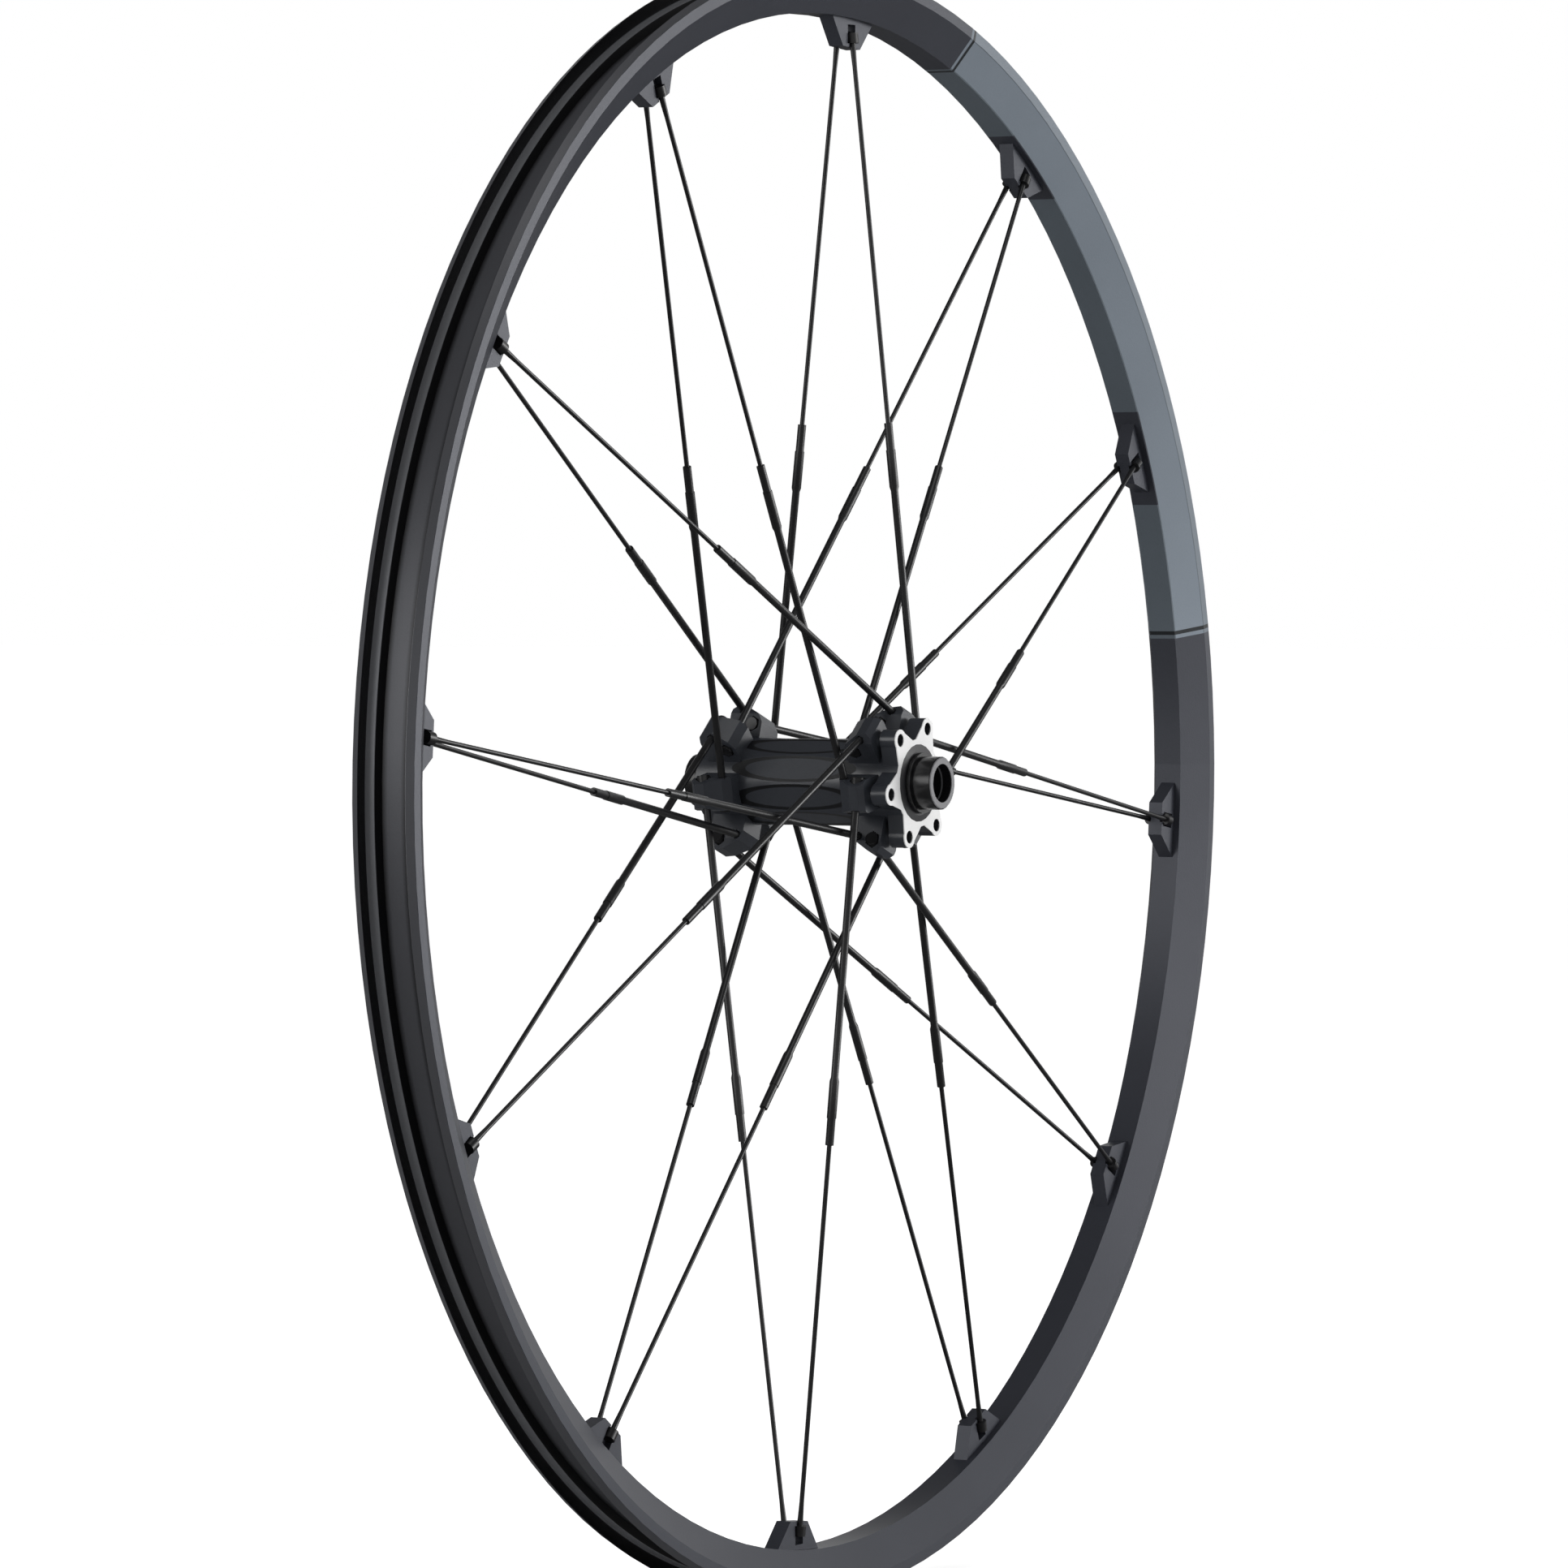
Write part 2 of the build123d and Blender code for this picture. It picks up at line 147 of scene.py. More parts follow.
print("helpers ready")

# %% [markdown]
# Anodised aluminium is never one flat tone. Blasting before the bath leaves a fine even grain, and
# the dye takes a little unevenly over larger areas. Each finish could draw this for itself, but
# every metal finish needs it, so it is one node group: it puts out a tint that multiplies a colour,
# and a height for a bump.

# %% Shared grain group
GRAIN_SCALE = 1500.0
CLOUD_SCALE = 30.0
TINT_SPREAD = 0.2
GRAIN_SHARE = 0.4


def make_grain_group():
    group = bpy.data.node_groups.new("metal_grain", "ShaderNodeTree")
    face = group.interface
    for name, value in (("Grain Scale", GRAIN_SCALE), ("Cloud Scale", CLOUD_SCALE),
                        ("Tint Spread", TINT_SPREAD)):
        face.new_socket(name, in_out="INPUT", socket_type="NodeSocketFloat").default_value = value
    for name in ("Tint", "Height"):
        face.new_socket(name, in_out="OUTPUT", socket_type="NodeSocketFloat")
    inside = add(group, "NodeGroupInput").outputs
    place = add(group, "ShaderNodeTexCoord").outputs["Object"]
    grain = add(group, "ShaderNodeTexNoise", {
        "Vector": place, "Scale": inside["Grain Scale"], "Detail": 3.0}).outputs[0]
    cloud = add(group, "ShaderNodeTexNoise", {
        "Vector": place, "Scale": inside["Cloud Scale"], "Detail": 2.0}).outputs[0]
    mixed = calc(group, "ADD", calc(group, "MULTIPLY", grain, GRAIN_SHARE),
                 calc(group, "MULTIPLY", cloud, 1 - GRAIN_SHARE))
    swing = calc(group, "MULTIPLY", calc(group, "SUBTRACT", mixed, 0.5), inside["Tint Spread"])
    outside = add(group, "NodeGroupOutput")
    group.links.new(calc(group, "ADD", swing, 1.0), outside.inputs["Tint"])
    group.links.new(grain, outside.inputs["Height"])
    return group


GRAIN = make_grain_group()
print("group:", GRAIN.name)

# %% [markdown]
# The caps, covers, axle and bearings are turned on a lathe, but their solids have flat sides. Finer
# meshes could stand in for them. Shading them round is enough here, because their outlines already
# look round at this size. A second group keeps the part of the surface normal along the axle and
# points the rest straight away from the axle, or straight at it inside a bore.

# %% Shared round normal group
def make_round_group():
    group = bpy.data.node_groups.new("round_about_axle", "ShaderNodeTree")
    group.interface.new_socket("Normal", in_out="OUTPUT", socket_type="NodeSocketVector")
    geometry = add(group, "ShaderNodeNewGeometry").outputs
    normal = geometry["Normal"]
    place = add(group, "ShaderNodeSeparateXYZ", {0: geometry["Position"]}).outputs
    along = add(group, "ShaderNodeSeparateXYZ", {0: normal}).outputs[1]
    flat = add(group, "ShaderNodeCombineXYZ", {0: place[0], 2: place[2]}).outputs[0]
    away = vector_calc(group, "NORMALIZE", flat)["Vector"]
    side = calc(group, "SIGN", vector_calc(group, "DOT_PRODUCT", normal, away)["Value"])
    rest = calc(group, "SUBTRACT", 1.0, calc(group, "MULTIPLY", along, along))
    length = calc(group, "SQRT", calc(group, "MAXIMUM", rest, 0.0))
    spread = calc(group, "MULTIPLY", side, length)
    turned = add(group, "ShaderNodeVectorMath", {0: away, "Scale": spread},
                 operation="SCALE").outputs[0]
    axial = add(group, "ShaderNodeCombineXYZ", {1: along}).outputs[0]
    outside = add(group, "NodeGroupOutput")
    group.links.new(vector_calc(group, "ADD", turned, axial)["Vector"], outside.inputs[0])
    return group


ROUND = make_round_group()
print("group:", ROUND.name)

# %% [markdown]
# Every finish is a Principled shader. What is the same all over a piece is set on the shader's own
# sockets, and only what changes over the surface is linked. The grain tints the colour and roughens
# the surface a little. A place on the wheel is told by its distance from the axis, its place along
# the axis and its angle.

# %% Finish helpers
BUMP_HEIGHT = 0.0001


def new_finish(name, roughness, metallic=0.0, specular=0.5):
    material = bpy.data.materials.new(name)
    material.use_nodes = True
    shader = material.node_tree.nodes["Principled BSDF"]
    shader.inputs["Roughness"].default_value = roughness
    shader.inputs["Metallic"].default_value = metallic
    shader.inputs["Specular IOR Level"].default_value = specular
    return material, material.node_tree, shader


def add_grain(tree, shader, colour, bump, spread=TINT_SPREAD, scale=GRAIN_SCALE, turned=False):
    grain = add(tree, "ShaderNodeGroup", node_tree=GRAIN)
    grain.inputs["Tint Spread"].default_value = spread
    grain.inputs["Grain Scale"].default_value = scale
    tinted = vector_calc(tree, "MULTIPLY", colour, grain.outputs["Tint"])["Vector"]
    tree.links.new(tinted, shader.inputs["Base Color"])
    rough = add(tree, "ShaderNodeBump", {
        "Height": grain.outputs["Height"], "Strength": bump, "Distance": BUMP_HEIGHT})
    if turned:
        round_normal = add(tree, "ShaderNodeGroup", node_tree=ROUND).outputs[0]
        tree.links.new(round_normal, rough.inputs["Normal"])
    tree.links.new(rough.outputs[0], shader.inputs["Normal"])


def place_in_wheel(tree):
    place = add(tree, "ShaderNodeTexCoord").outputs["Object"]
    x, y, z = add(tree, "ShaderNodeSeparateXYZ", {0: place}).outputs
    flat = add(tree, "ShaderNodeCombineXYZ", {0: x, 2: z}).outputs[0]
    return vector_calc(tree, "LENGTH", flat)["Value"], y, calc(tree, "ARCTAN2", z, x)


def give(finish, *names):
    for name in names:
        nodes[name].data.materials.clear()
        nodes[name].data.materials.append(finish)


print("finish helpers ready")

# %% [markdown]
# The rim is one aluminium hoop, so its finish changes from place to place on one mesh. Separate
# pieces or an unwrapped picture could carry that. Masks need neither: the distance from the axis
# tells the lip, the lip's wall, the bead shelf, the slope and the floor of the tyre bed apart, and
# the angle from the nearest anchor tells where the inner face is milled around it. Painted shade
# darkens the corners of the floor over a short way.

# %% Masks on the rim
SKIN = 0.0003
EDGE = 0.0002
BED_REACH = 0.0005
# Width of the painted shade in the corners of the floor.
CORNER_SHADE_WIDTH = 0.0022
MILLED_HALF = 4.1

rim_finish, tree, shader = new_finish("rim_anodised", roughness=0.4, metallic=0.25, specular=0.4)
radius, along, angle = place_in_wheel(tree)
across = calc(tree, "ABSOLUTE", along)

between_lips = below(tree, across, LIP_INSIDE_Y + EDGE / 2)
bed = both(tree, between_lips, above(tree, radius, FLOOR_R - BED_REACH))
shelf = both(tree, bed, between(tree, radius, SHELF_R - SKIN, SHELF_R + SKIN))
low = below(tree, radius, FLOOR_R + SKIN)
bed_floor = both(tree, bed, low)
# Painted shade: it fades in towards each corner of the floor.
corner_shade_ramp = add(tree, "ShaderNodeMapRange", {
    "Value": across, "From Min": FLOOR_HALF - CORNER_SHADE_WIDTH, "From Max": FLOOR_HALF}).outputs[0]
corner = both(tree, corner_shade_ramp, low)
slope = between(tree, radius, FLOOR_R + SKIN, SHELF_R - SKIN)
lip_wall = between(tree, radius, SHELF_R + SKIN, RIM_R - EDGE)
# Painted shade on the slope, the lip's wall and the floor corners of the tyre bed.
bed_shade = both(tree, bed, either(tree, corner, either(tree, slope, lip_wall)))
lip = above(tree, radius, RIM_R - LIP_FALL)

band = above(tree, across, RIM_SIDE_Y - EDGE)
inside = below(tree, radius, INNER_FACE_R + 2 * EDGE)
from_first = calc(tree, "SUBTRACT", angle, radians(ANCHOR_PHASE))
steps = calc(tree, "DIVIDE", from_first, radians(ANCHOR_STEP))
from_anchor = calc(tree, "ABSOLUTE", calc(tree, "SUBTRACT", steps, calc(tree, "ROUND", steps)))
milled = both(tree, inside, below(tree, from_anchor, MILLED_HALF / ANCHOR_STEP))
under_lip = below(tree, radius, RIM_R - LIP_FALL)
open_wall = without(tree, without(tree, under_lip, bed), milled)
print("rim masks from radius", round(INNER_FACE_R, 4), "to", round(RIM_R, 4))

# %% [markdown]
# The rim is dark grey and anodised. A field of blue-grey paint covers a sixth of it, over the
# sidewall and over the inner face. The paint is a painted shade darker on the inner face and on the
# upright band. At each end it stops with a dark line and a thin line of paint. The milled places
# around the anchors stay bare. In the tyre bed the steep walls and the corners get painted shade and
# are black, and the floor, the shelves and the lips get painted light and are lighter. The masks lay
# one tone over the other, from the bare metal up.

# %% Rim finish
PANEL_MIDDLE = 40.5
PANEL_HALF = 30.0
LINE = 0.3
PLAIN = (0.046, 0.0495, 0.063, 1)
PAINT = (0.22, 0.257, 0.3, 1)
# Painted shade: the paint is darker on the upright band and on the inner face.
PAINT_BAND_SHADED = (0.14, 0.164, 0.191, 1)
PAINT_INSIDE_SHADED = (0.125, 0.15, 0.175, 1)
LINE_TONE = (0.014, 0.017, 0.02, 1)
# Painted light: lighter tones on the lips, the floor and the shelves of the tyre bed.
LIP_PAINTED_LIGHT = (0.09, 0.092, 0.102, 1)
FLOOR_PAINTED_LIGHT = (0.078, 0.08, 0.09, 1)
# Painted shade: black on the walls and floor corners of the tyre bed.
BED_PAINTED_SHADE = (0.004, 0.004, 0.005, 1)
SHELF_PAINTED_LIGHT = (0.2, 0.205, 0.22, 1)

from_panel = calc(tree, "ABSOLUTE", calc(tree, "SUBTRACT", angle, radians(PANEL_MIDDLE)))
painted = both(tree, below(tree, from_panel, radians(PANEL_HALF + LINE)), open_wall)
at_line = between(tree, from_panel, radians(PANEL_HALF - LINE), radians(PANEL_HALF))
# The paint with its painted shade on the band and on the inner face.
paint_and_shade = blend(tree, inside, blend(tree, band, PAINT, PAINT_BAND_SHADED), PAINT_INSIDE_SHADED)

colour = blend(tree, painted, PLAIN, paint_and_shade)
# Painted shade and painted light are laid over the paint and the bare metal.
for mask, tone in ((both(tree, at_line, open_wall), LINE_TONE), (lip, LIP_PAINTED_LIGHT),
                   (bed_floor, FLOOR_PAINTED_LIGHT), (bed_shade, BED_PAINTED_SHADE), (shelf, SHELF_PAINTED_LIGHT)):
    colour = blend(tree, mask, colour, tone)
add_grain(tree, shader, colour, bump=0.25, spread=0.25)
give(rim_finish, "rim")
print("rim finish with a panel of", 2 * PANEL_HALF, "degrees")

# %% [markdown]
# The hub shell is anodised black. Its disc mount is faced on a lathe afterwards, which cuts through
# the colour and leaves bright bare aluminium with fine rings, on the face alone. The rings are a wave
# on the distance from the axis, which is finer than any mesh would be. The edges of the barrel's
# scallops get a painted shade, a thin darker line: they lie just under the radius of the barrel.

# %% Hub finish
FACED_DEPTH = 0.0004
FACED_TONE = 0.9
RING_PITCH = 0.0004
RING_SWING = 0.03
BARREL_R = 0.017
BARREL_MIDDLE = 0.0019
SCALLOP_HALF = 0.028
SCALLOP_EDGE_TOP = 0.00002
SCALLOP_EDGE_LOW = 0.00035
HUB_BLACK = (0.036, 0.04, 0.049, 1)
# Painted shade along the edges of the scallops.
SCALLOP_EDGE_SHADE = (0.004, 0.0045, 0.006, 1)

hub_finish, tree, shader = new_finish("hub_anodised", roughness=0.3, specular=0.55)
radius, along = place_in_wheel(tree)[:2]
faced = below(tree, along, DISC_FACE_Y + FACED_DEPTH)
rings = calc(tree, "SINE", calc(tree, "MULTIPLY", radius, 2 * pi / RING_PITCH))
tone = calc(tree, "ADD", calc(tree, "MULTIPLY", rings, RING_SWING), FACED_TONE)
silver = add(tree, "ShaderNodeCombineColor", {0: tone, 1: tone, 2: tone}).outputs[0]
from_middle = calc(tree, "ABSOLUTE", calc(tree, "SUBTRACT", along, BARREL_MIDDLE))
barrel = below(tree, from_middle, SCALLOP_HALF)
edge = between(tree, radius, BARREL_R - SCALLOP_EDGE_LOW, BARREL_R - SCALLOP_EDGE_TOP)
# Painted shade: a dark line along the edges of the barrel's scallops.
black_and_edge_shade = blend(tree, both(tree, barrel, edge), HUB_BLACK, SCALLOP_EDGE_SHADE)
add_grain(tree, shader, blend(tree, faced, black_and_edge_shade, silver), bump=0.2, spread=0.25)
give(hub_finish, "hub_shell")
print("hub faced to", FACED_DEPTH * 1000, "mm")

# %% [markdown]
# The end caps are glossy black, with a bare turned ring on the face that meets the fork and a
# painted highlight, a thin bright edge, inside the bore. Both are masks again, on the distance in
# from the end of the cap. The dust covers are dark grey. The axle and the bearings are seldom seen
# and get plain turned metal.

# %% End cap, cover, axle and bearing finishes
BARE_DEPTH = 0.0003
BORE_EDGE_DEPTH = 0.004
BORE_EDGE_WIDTH = 0.0007
CAP_BLACK = (0.009, 0.009, 0.010, 1)
# Bare turned ring, and also the painted highlight inside the bore.
CAP_BARE_AND_HIGHLIGHT = (0.2, 0.2, 0.21, 1)
COVER_GREY = (0.03, 0.03, 0.033)
AXLE_DARK = (0.05, 0.05, 0.055)
BEARING_STEEL = (0.55, 0.55, 0.55)

cap_finish, tree, shader = new_finish("cap_black", roughness=0.26)
radius, along = place_in_wheel(tree)[:2]
inset = calc(tree, "SUBTRACT", -CAP_FACE_Y, calc(tree, "ABSOLUTE", along))
# Painted highlight: a thin bright ring at the step inside the bore.
at_edge = between(tree, inset, BORE_EDGE_DEPTH, BORE_EDGE_DEPTH + BORE_EDGE_WIDTH)
bore_edge_highlight = both(tree, below(tree, radius, AXLE_BORE_R + EDGE), at_edge)
cap_bare_and_highlight = either(tree, below(tree, inset, BARE_DEPTH), bore_edge_highlight)
add_grain(tree, shader, blend(tree, cap_bare_and_highlight, CAP_BLACK, CAP_BARE_AND_HIGHLIGHT), bump=0.1, turned=True)
give(cap_finish, "left_end_cap", "right_end_cap")

cover_finish, tree, shader = new_finish("cover_grey", roughness=0.45, specular=0.35)
add_grain(tree, shader, COVER_GREY, bump=0.2, scale=900.0, turned=True)
give(cover_finish, "left_dust_cover", "right_dust_cover")

axle_finish, tree, shader = new_finish("axle_turned", roughness=0.35, metallic=0.8)
add_grain(tree, shader, AXLE_DARK, bump=0.1, turned=True)
give(axle_finish, "axle")

bearing_finish, tree, shader = new_finish("bearing_steel", roughness=0.22, metallic=1.0)
add_grain(tree, shader, BEARING_STEEL, bump=0.05, spread=0.1, turned=True)
give(bearing_finish, *[name for name in nodes if "_bearing_" in name])
print("caps, covers, axle and bearings finished")

# %% [markdown]
# Geometry Nodes makes what repeats: one tree holds the rule, and its inputs hold the sizes. These
# helpers start a tree, end it with real meshes and a material, and run it. Running hangs the tree on
# a new object, sets its inputs by their sockets, keeps the mesh that comes out and takes the modifier
# off again, because only a plain mesh can be handed on.

# %% Run a Geometry Nodes tree
def new_tree(name, inputs):
    tree = bpy.data.node_groups.new(name, "GeometryNodeTree")
    for label, kind in inputs:
        tree.interface.new_socket(label, in_out="INPUT", socket_type="NodeSocket" + kind)
    tree.interface.new_socket("Shape", in_out="OUTPUT", socket_type="NodeSocketGeometry")
    return tree, add(tree, "NodeGroupInput").outputs


def end_tree(tree, shape, finish):
    real = add(tree, "GeometryNodeRealizeInstances", {0: shape}).outputs[0]
    shown = add(tree, "GeometryNodeSetMaterial", {"Geometry": real, "Material": finish}).outputs[0]
    tree.links.new(shown, add(tree, "NodeGroupOutput").inputs[0])


def made_by(tree, name, mesh, settings):
    maker = bpy.data.objects.new(name, mesh)
    bpy.context.collection.objects.link(maker)
    modifier = maker.modifiers.new(name, "NODES")
    modifier.node_group = tree
    for item in tree.interface.items_tree:
        if item.in_out == "INPUT" and item.name in settings:
            modifier[item.identifier] = settings[item.name]
    evaluated = maker.evaluated_get(bpy.context.evaluated_depsgraph_get())
    maker.data = bpy.data.meshes.new_from_object(evaluated)
    maker.modifiers.remove(modifier)
    return maker


print("tree runner ready")

# %% [markdown]
# Spokes and tubes are round rods whose thickness changes along them. The solids give them six flat
# sides, which keeps them light. Here each gets its round section back, with the same area. A solid
# tells where its rings of corners lie: their distance along the rod and their radius are its
# stations. Two radii at one distance are a step. A tube's bore is hidden by the spoke in it, so the
# stations of the bore are left out, apart from the first, which starts the rod.

# %% Read the stations of a rod
SOLID_SIDES = 6
ROUND_SHARE = sqrt(SOLID_SIDES * sin(2 * pi / SOLID_SIDES) / (2 * pi))
GAP = 0.0001
STEP = 0.00002
END_REACH = 0.0005


def merged(values):
    groups = []
    for value in sorted(values):
        if groups and value - groups[-1][-1] < GAP:
            groups[-1].append(value)
        else:
            groups.append([value])
    return [sum(group) / len(group) for group in groups]


def rod_axis(points):
    start = max(points, key=lambda point: point.x ** 2 + point.z ** 2)
    end = max(points, key=lambda point: (point - start).length)
    rough = (end - start).normalized()
    centres = []
    for side in (-1, 1):
        reach = max(side * point.dot(rough) for point in points)
        ring = [point for point in points if side * point.dot(rough) > reach - END_REACH]
        centres.append(sum(ring, Vector()) / len(ring))
    return centres[0], (centres[1] - centres[0]).normalized()


def rod_stations(solid, hollow):
    points = [vertex.co for vertex in solid.data.vertices]
    start, along = rod_axis(points)
    measured = []
    for point in points:
        distance = (point - start).dot(along)
        measured.append((distance, (point - start - along * distance).length))
    stations = []
    for distance in merged([distance for distance, radius in measured]):
        radii = merged([radius for place, radius in measured if abs(place - distance) < GAP])
        if stations and abs(radii[-1] - stations[-1][1]) < abs(radii[0] - stations[-1][1]):
            radii.reverse()
        for order, radius in enumerate(radii):
            stations.append((start + along * (distance + order * STEP), radius))
    if hollow:
        bore = min(radius for place, radius in stations)
        outer = [(place, radius) for place, radius in stations[1:] if radius > bore + GAP]
        stations = stations[:1] + outer
    return stations


wires = [name for name in nodes if name.startswith("spoke_") and "tube" not in name]
tubes = [name for name in nodes if name.startswith("spoke_tube_")]
print(len(wires), "spokes with", len(rod_stations(nodes[wires[0]], hollow=False)), "stations,",
      len(tubes), "tubes with", len(rod_stations(nodes[tubes[0]], hollow=True)))

# %% [markdown]
# A cylinder for each stretch of each rod would leave many loose pieces. Instead the stations are
# strung on lines, and one tree turns all rods: the lines become curves, a circle runs along each and
# takes its size from the stations, and edges that bend by more than a set angle stay crisp. Both
# finishes are black with a fine grain; the spokes are a little darker than the tubes.

# %% Turn the spokes and tubes
ROD_SIDES = 20
CRISP_ANGLE = 35
ROD_GRAIN = 2500.0
SPOKE_BLACK = (0.008, 0.008, 0.009)
TUBE_BLACK = (0.012, 0.012, 0.013)


def rod_lines(name, solids, hollow):
    places, edges, radii = [], [], []
    for solid in solids:
        first = len(places)
        for place, radius in rod_stations(solid, hollow):
            places.append(place)
            radii.append(radius * ROUND_SHARE)
        edges += [(corner, corner + 1) for corner in range(first, len(places) - 1)]
    mesh = bpy.data.meshes.new(name)
    mesh.from_pydata(places, edges, [])
    mesh.attributes.new("turn_radius", "FLOAT", "POINT").data.foreach_set("value", radii)
    return mesh


tree, given = new_tree("turned_rods", (
    ("Lines", "Geometry"), ("Sides", "Int"), ("Crisp Angle", "Float"), ("Finish", "Material")))
curves = add(tree, "GeometryNodeMeshToCurve", {"Mesh": given["Lines"]}).outputs[0]
size = add(tree, "GeometryNodeInputNamedAttribute", {"Name": "turn_radius"},
           data_type="FLOAT").outputs[0]
circle = add(tree, "GeometryNodeCurvePrimitiveCircle", {
    "Resolution": given["Sides"], "Radius": 1.0}).outputs[0]
turned = add(tree, "GeometryNodeCurveToMesh", {
    "Curve": curves, "Profile Curve": circle, "Scale": size, "Fill Caps": True}).outputs[0]
smooth = add(tree, "GeometryNodeSetShadeSmooth", {
    "Geometry": turned, "Shade Smooth": True}).outputs[0]
bend = add(tree, "GeometryNodeInputMeshEdgeAngle").outputs[0]
crisp = above(tree, bend, given["Crisp Angle"])
edged = add(tree, "GeometryNodeSetShadeSmooth", {
    "Geometry": smooth, "Selection": crisp, "Shade Smooth": False}, domain="EDGE").outputs[0]
end_tree(tree, edged, given["Finish"])

wire_finish, shading, shader = new_finish("spoke_black", roughness=0.36)
add_grain(shading, shader, SPOKE_BLACK, bump=0.02, spread=0.3, scale=ROD_GRAIN)
tube_finish, shading, shader = new_finish("tube_black", roughness=0.34)
add_grain(shading, shader, TUBE_BLACK, bump=0.02, spread=0.3, scale=ROD_GRAIN)

for name, solids, hollow, finish, slot in (
        ("round_spokes", wires, False, wire_finish, "spoke_steel"),
        ("round_tubes", tubes, True, tube_finish, "tube_alloy")):
    lines = rod_lines(name, [nodes[solid] for solid in solids], hollow)
    rods = made_by(tree, name, lines, {
        "Sides": ROD_SIDES, "Crisp Angle": radians(CRISP_ANGLE), "Finish": finish})
    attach(rods, "wheel")
    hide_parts(*solids)
    print(name, len(rods.data.polygons), "faces")

# %% [markdown]
# The holes of the disc mount are threaded for the bolts of a brake disc. A bump could hint at the
# thread, but a hole is open to view, so it is real: one thread is a helix with a small triangular
# ridge. A tree makes it once, stands a copy at each bolt and turns the set to face along the axle.

# %% Threads in the disc mount
THREAD_PITCH = 0.0008
THREAD_DEPTH = 0.0064
TURN_STEPS = 24
RIDGE_SIDES = 3
RIDGE_SHARE = 0.35
THREAD_BLACK = (0.02, 0.02, 0.022)

tree, given = new_tree("disc_mount_threads", (
    ("Bolt Circle", "Float"), ("Hole Radius", "Float"), ("Pitch", "Float"), ("Depth", "Float"),
    ("Holes", "Int"), ("Phase", "Float"), ("Face", "Float"), ("Finish", "Material")))
helix = add(tree, "GeometryNodeCurveSpiral", {
    "Resolution": TURN_STEPS, "Rotations": calc(tree, "DIVIDE", given["Depth"], given["Pitch"]),
    "Start Radius": given["Hole Radius"], "End Radius": given["Hole Radius"],
    "Height": given["Depth"]}).outputs[0]
ridge = add(tree, "GeometryNodeCurvePrimitiveCircle", {
    "Resolution": RIDGE_SIDES,
    "Radius": calc(tree, "MULTIPLY", given["Pitch"], RIDGE_SHARE)}).outputs[0]
thread = add(tree, "GeometryNodeCurveToMesh", {
    "Curve": helix, "Profile Curve": ridge, "Fill Caps": True}).outputs[0]
bolts = add(tree, "GeometryNodeMeshCircle", {
    "Vertices": given["Holes"], "Radius": given["Bolt Circle"]}).outputs[0]
copies = add(tree, "GeometryNodeInstanceOnPoints", {
    "Points": bolts, "Instance": thread}).outputs[0]
phase = add(tree, "ShaderNodeCombineXYZ", {2: given["Phase"]}).outputs[0]
spun = add(tree, "GeometryNodeTransform", {"Geometry": copies, "Rotation": phase}).outputs[0]
face = add(tree, "ShaderNodeCombineXYZ", {1: given["Face"]}).outputs[0]
stood = add(tree, "GeometryNodeTransform", {
    "Geometry": spun, "Translation": face, "Rotation": (radians(-90), 0, 0)}).outputs[0]
end_tree(tree, stood, given["Finish"])

thread_finish, shading, shader = new_finish("thread_black", roughness=0.4, metallic=0.5)
add_grain(shading, shader, THREAD_BLACK, bump=0.1)
threads = made_by(tree, "disc_mount_threads", bpy.data.meshes.new("threads"), {
    "Bolt Circle": BOLT_CIRCLE_R, "Hole Radius": BOLT_HOLE_R,
    "Pitch": THREAD_PITCH, "Depth": THREAD_DEPTH, "Holes": mounts["disc_bolts"]["count"],
    "Phase": radians(-LOBE_PHASE), "Face": DISC_FACE_Y + THREAD_PITCH / 2,
    "Finish": thread_finish})
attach(threads, "wheel")
print("threads:", len(threads.data.polygons), "faces")

# %% [markdown]
# The wheel stands on a plain pale floor. The floor could be lit until it looks white, but then the
# wheel would be too bright as well. So it glows a little, for the camera alone: it looks white and
# still keeps the wheel's soft shadow. In the gloss of the dark metal it is mirrored dull.

# %% Floor
FLOOR_REACH = 30.0
FLOOR_DROP = 0.001
FLOOR_LIFT = 0.7
FLOOR_DULL = 0.75
WHITE = (1, 1, 1, 1)
BLACK = (0, 0, 0, 1)
FLOOR_PALE = (0.86, 0.86, 0.86, 1)

corners = [(x * FLOOR_REACH, y * FLOOR_REACH, rim_low[2] - FLOOR_DROP)
           for x, y in ((-1, -1), (1, -1), (1, 1), (-1, 1))]
floor_mesh = bpy.data.meshes.new("floor")
floor_mesh.from_pydata(corners, [], [(0, 1, 2, 3)])
floor = bpy.data.objects.new("floor", floor_mesh)
bpy.context.collection.objects.link(floor)
floor_finish, tree, shader = new_finish("floor_pale", roughness=0.9, specular=0.1)
shader.inputs["Emission Color"].default_value = WHITE
rays = add(tree, "ShaderNodeLightPath").outputs
dull = calc(tree, "MULTIPLY", rays["Is Glossy Ray"], FLOOR_DULL)
tree.links.new(blend(tree, dull, FLOOR_PALE, BLACK), shader.inputs["Base Color"])
lift = calc(tree, "MULTIPLY", rays["Is Camera Ray"], FLOOR_LIFT)
tree.links.new(lift, shader.inputs["Emission Strength"])
floor_mesh.materials.append(floor_finish)
print("floor at", round(corners[0][2], 4))

# %% [markdown]
# The surround is an even pale studio that looks white to the camera. Dark metal lives from what it
# mirrors, so glossy rays see a little more of a room: pale walls, a dark ceiling above them and a dim
# backdrop behind the wheel. A picture of a real room could be mirrored instead, but this needs none.

# %% Surround
SURROUND = 0.36
WALL_TOP = 0.5
WALL_GLOW = 0.85
CEILING_GLOW = 0.08
BACKDROP_EDGE = 0.55
BACKDROP_SOFT = 0.2
BACKDROP_DIM = 0.8

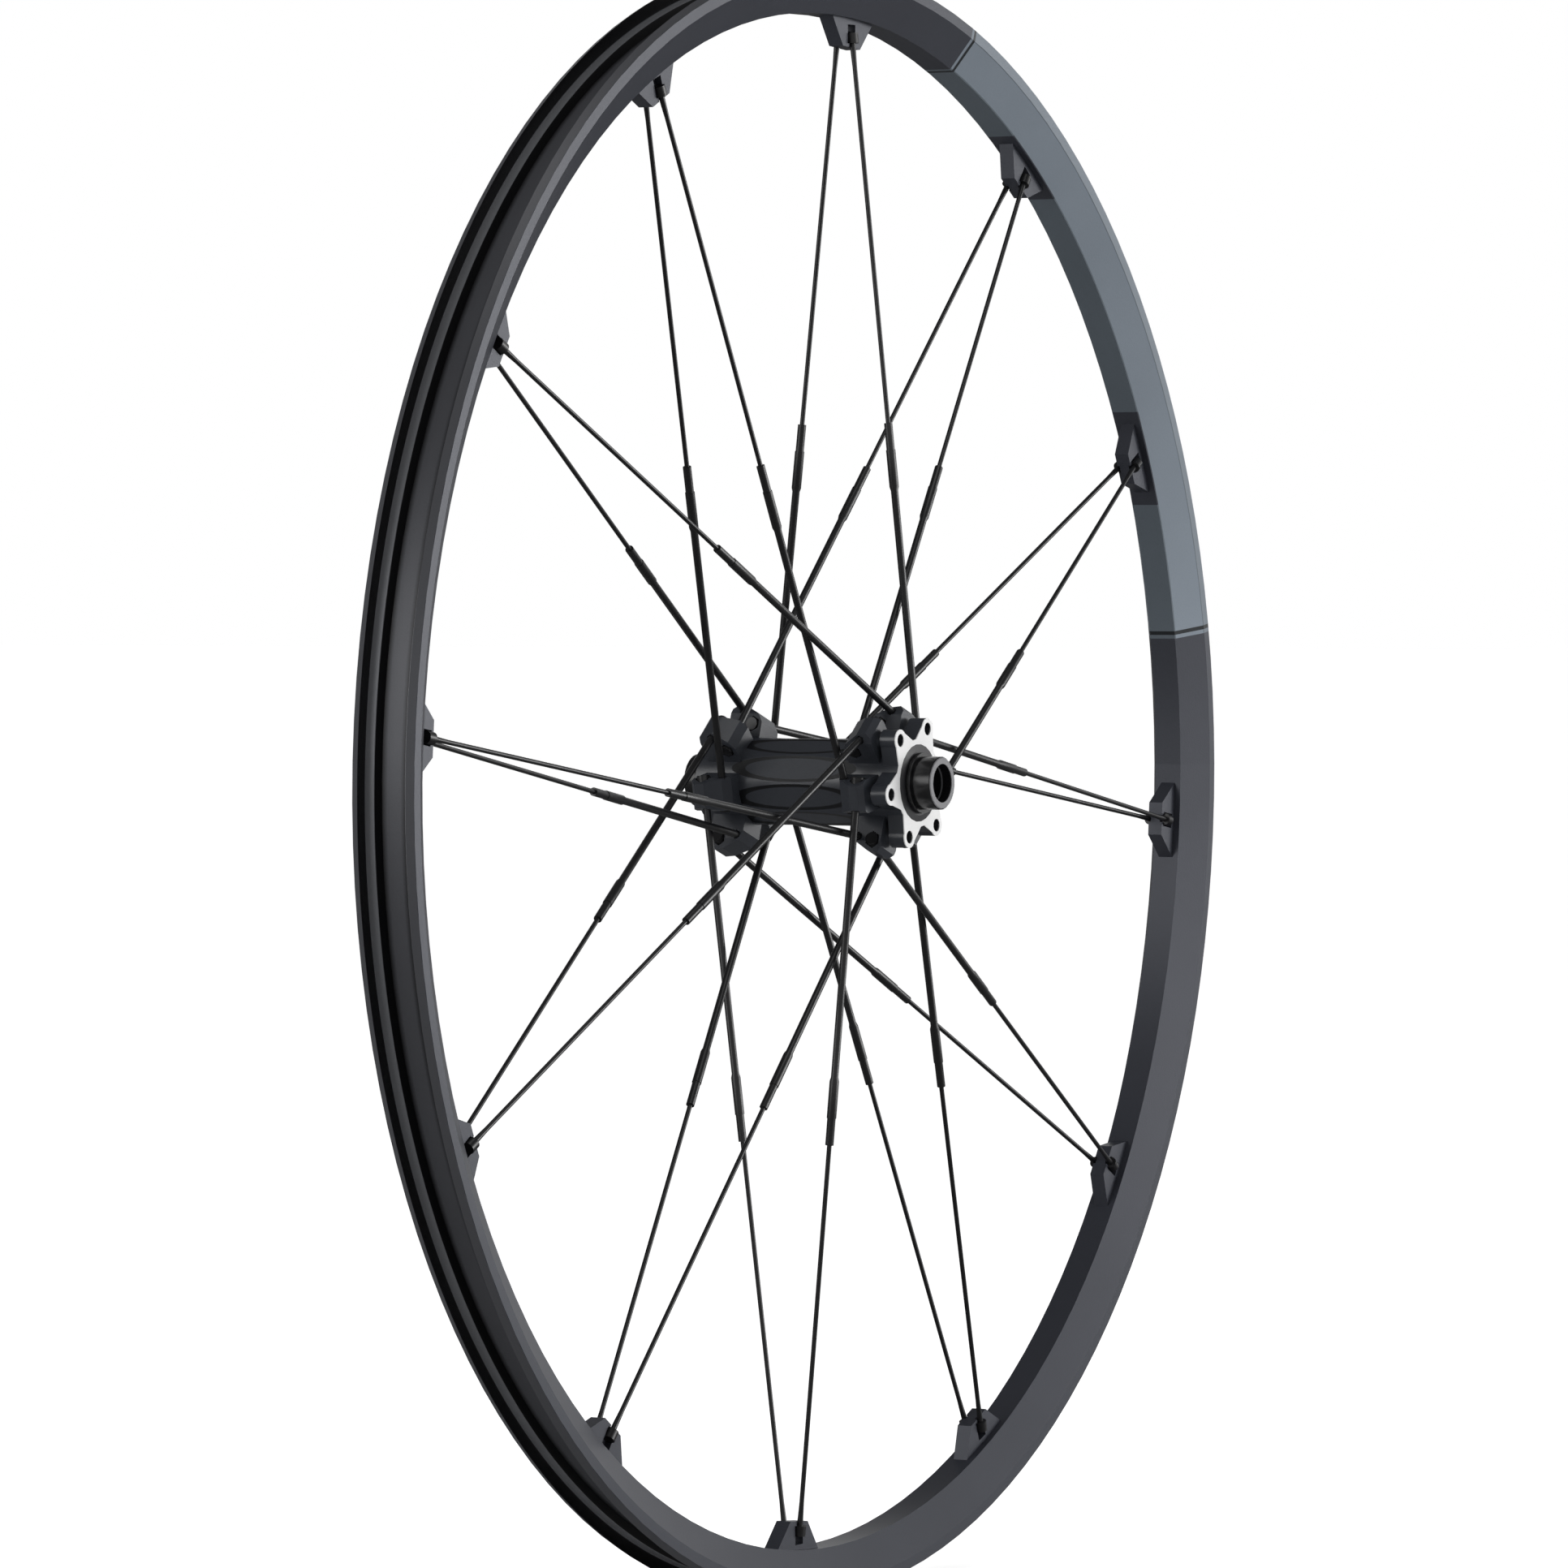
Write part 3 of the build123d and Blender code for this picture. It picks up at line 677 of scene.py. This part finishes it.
world = bpy.data.worlds.new("studio")
bpy.context.scene.world = world
world.use_nodes = True
tree = world.node_tree
background = tree.nodes["Background"]
rays = add(tree, "ShaderNodeLightPath").outputs
direction = add(tree, "ShaderNodeTexCoord").outputs["Generated"]
toward = add(tree, "ShaderNodeSeparateXYZ", {0: direction}).outputs
wall = add(tree, "ShaderNodeMapRange", {
    "Value": toward[2], "From Min": WALL_TOP / 2, "From Max": WALL_TOP,
    "To Min": WALL_GLOW, "To Max": CEILING_GLOW}).outputs[0]
behind = add(tree, "ShaderNodeMapRange", {
    "Value": toward[1], "From Min": BACKDROP_EDGE, "From Max": BACKDROP_EDGE + BACKDROP_SOFT,
    "To Max": BACKDROP_DIM}).outputs[0]
room = calc(tree, "SUBTRACT", without(tree, wall, behind), SURROUND)
mirrored = calc(tree, "MULTIPLY", rays["Is Glossy Ray"], room)
seen = calc(tree, "MAXIMUM", rays["Is Camera Ray"], rays["Is Transmission Ray"])
white = calc(tree, "MULTIPLY", seen, 1.0 - SURROUND)
strength = calc(tree, "ADD", white, calc(tree, "ADD", mirrored, SURROUND))
background.inputs["Color"].default_value = WHITE
tree.links.new(strength, background.inputs["Strength"])
print("surround at", SURROUND)

# %% [markdown]
# The light is that of a plain studio: a broad soft lamp in front on the right, a weaker one behind on
# the left and one overhead. Area lamps give the soft edges that small lamps can't. Each is turned to
# face the hub.

# %% Lamps
def soft_lamp(name, place, size, power):
    lamp = bpy.data.lights.new(name, "AREA")
    lamp.shape = "RECTANGLE"
    lamp.size, lamp.size_y = size
    lamp.energy = power
    holder = bpy.data.objects.new(name, lamp)
    holder.location = place
    holder.rotation_euler = (-Vector(place)).to_track_quat("-Z", "Y").to_euler()
    bpy.context.collection.objects.link(holder)
    print(name, power, "W")


soft_lamp("key_lamp", place=(1.6, -2.3, 0.2), size=(2.0, 1.0), power=42)
soft_lamp("back_lamp", place=(-2.2, 1.3, 0.6), size=(1.6, 1.2), power=14)
soft_lamp("top_lamp", place=(-0.4, -0.6, 2.4), size=(1.4, 1.2), power=8)

# %% [markdown]
# The camera stands about 60 degrees round from the wheel axis, almost level with the hub and more
# than three metres away, with a long lens. Its distance, angle and lens were fitted to the rim and
# the hub in the photograph, and the small shift puts the hub where the photograph has it.

# %% Camera
VIEW_AZIMUTH = -60.48
VIEW_ELEVATION = 1.53
VIEW_ROLL = -0.18
VIEW_DISTANCE = 3.274
IMAGE_SIDE = 1932
FOCAL_PIXELS = 10367
HUB_RIGHT_OF_MIDDLE = 42.5
HUB_ABOVE_MIDDLE = 2.8
SENSOR_WIDTH = 36
FAR_LIMIT = 100

azimuth, elevation = radians(VIEW_AZIMUTH), radians(VIEW_ELEVATION)
back = Vector((sin(azimuth) * cos(elevation), -cos(azimuth) * cos(elevation), sin(elevation)))
lens = bpy.data.cameras.new("photo_camera")
lens.sensor_width = SENSOR_WIDTH
lens.lens = FOCAL_PIXELS * SENSOR_WIDTH / IMAGE_SIDE
lens.shift_x = -HUB_RIGHT_OF_MIDDLE / IMAGE_SIDE
lens.shift_y = -HUB_ABOVE_MIDDLE / IMAGE_SIDE
lens.clip_end = FAR_LIMIT
camera = bpy.data.objects.new("photo_camera", lens)
turn = back.to_track_quat("Z", "Y").to_matrix().to_4x4()
roll = Matrix.Rotation(radians(VIEW_ROLL), 4, "Z")
camera.matrix_world = Matrix.Translation(back * VIEW_DISTANCE) @ turn @ roll
bpy.context.collection.objects.link(camera)
bpy.context.scene.camera = camera
bpy.context.scene.view_settings.view_transform = "Standard"
print("camera lens", round(lens.lens, 1), "mm")
